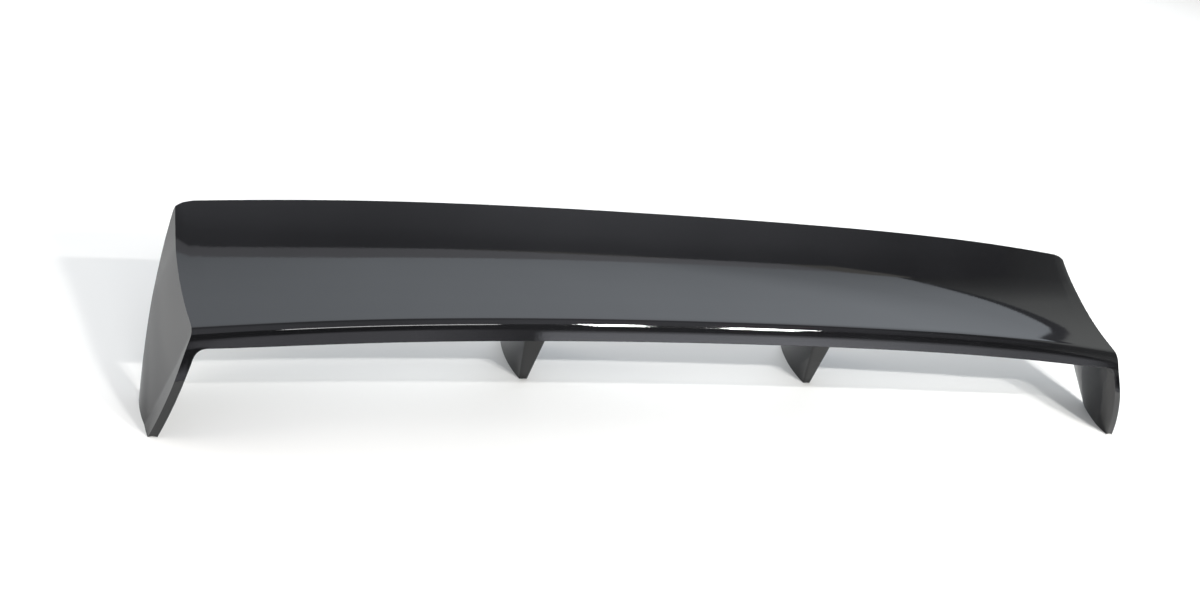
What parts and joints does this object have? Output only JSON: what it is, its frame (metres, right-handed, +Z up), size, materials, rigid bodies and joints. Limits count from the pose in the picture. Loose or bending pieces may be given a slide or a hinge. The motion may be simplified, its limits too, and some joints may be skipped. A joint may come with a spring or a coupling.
{
  "type": "racing rear wing",
  "caption": "Wide arched rear wing with a rounded front lip and upswept rear edge, end plates that run down into legs, and short centre legs with tapped feet.",
  "frame": {"origin": "on the surface the feet stand on, under the centre of the wing's bounding box", "axes": "+X across the car, +Y rearward from the front lip to the rear edge, +Z up"},
  "size_m": [1.2894, 0.209, 0.207],
  "materials": {
    "gelcoat": "gloss black moulded gelcoat over glass fibre",
    "adhesive": "matte grey bonding paste",
    "foam": "matte rigid foam",
    "plywood": "raw birch ply",
    "block_metal": "milled"
  },
  "bodies": {
    "root": {"upper_skin": "gelcoat", "lower_skin": "gelcoat", "front_bond": "adhesive", "rear_bond": "adhesive", "left_core": "foam", "centre_core": "foam", "right_core": "foam", "left_bulkhead": "plywood", "right_bulkhead": "plywood", "left_end_bond": "adhesive", "right_end_bond": "adhesive", "left_end_outer_skin": "gelcoat", "right_end_outer_skin": "gelcoat", "left_end_inner_skin": "gelcoat", "right_end_inner_skin": "gelcoat", "left_end_core": "foam", "right_end_core": "foam", "left_end_foot_block": "block_metal", "right_end_foot_block": "block_metal", "left_centre_leg_skin": "gelcoat", "right_centre_leg_skin": "gelcoat", "left_centre_leg_core": "foam", "right_centre_leg_core": "foam", "left_centre_foot_block": "block_metal", "right_centre_foot_block": "block_metal", "left_centre_leg_bond": "adhesive", "right_centre_leg_bond": "adhesive"}
  },
  "joints": []
}
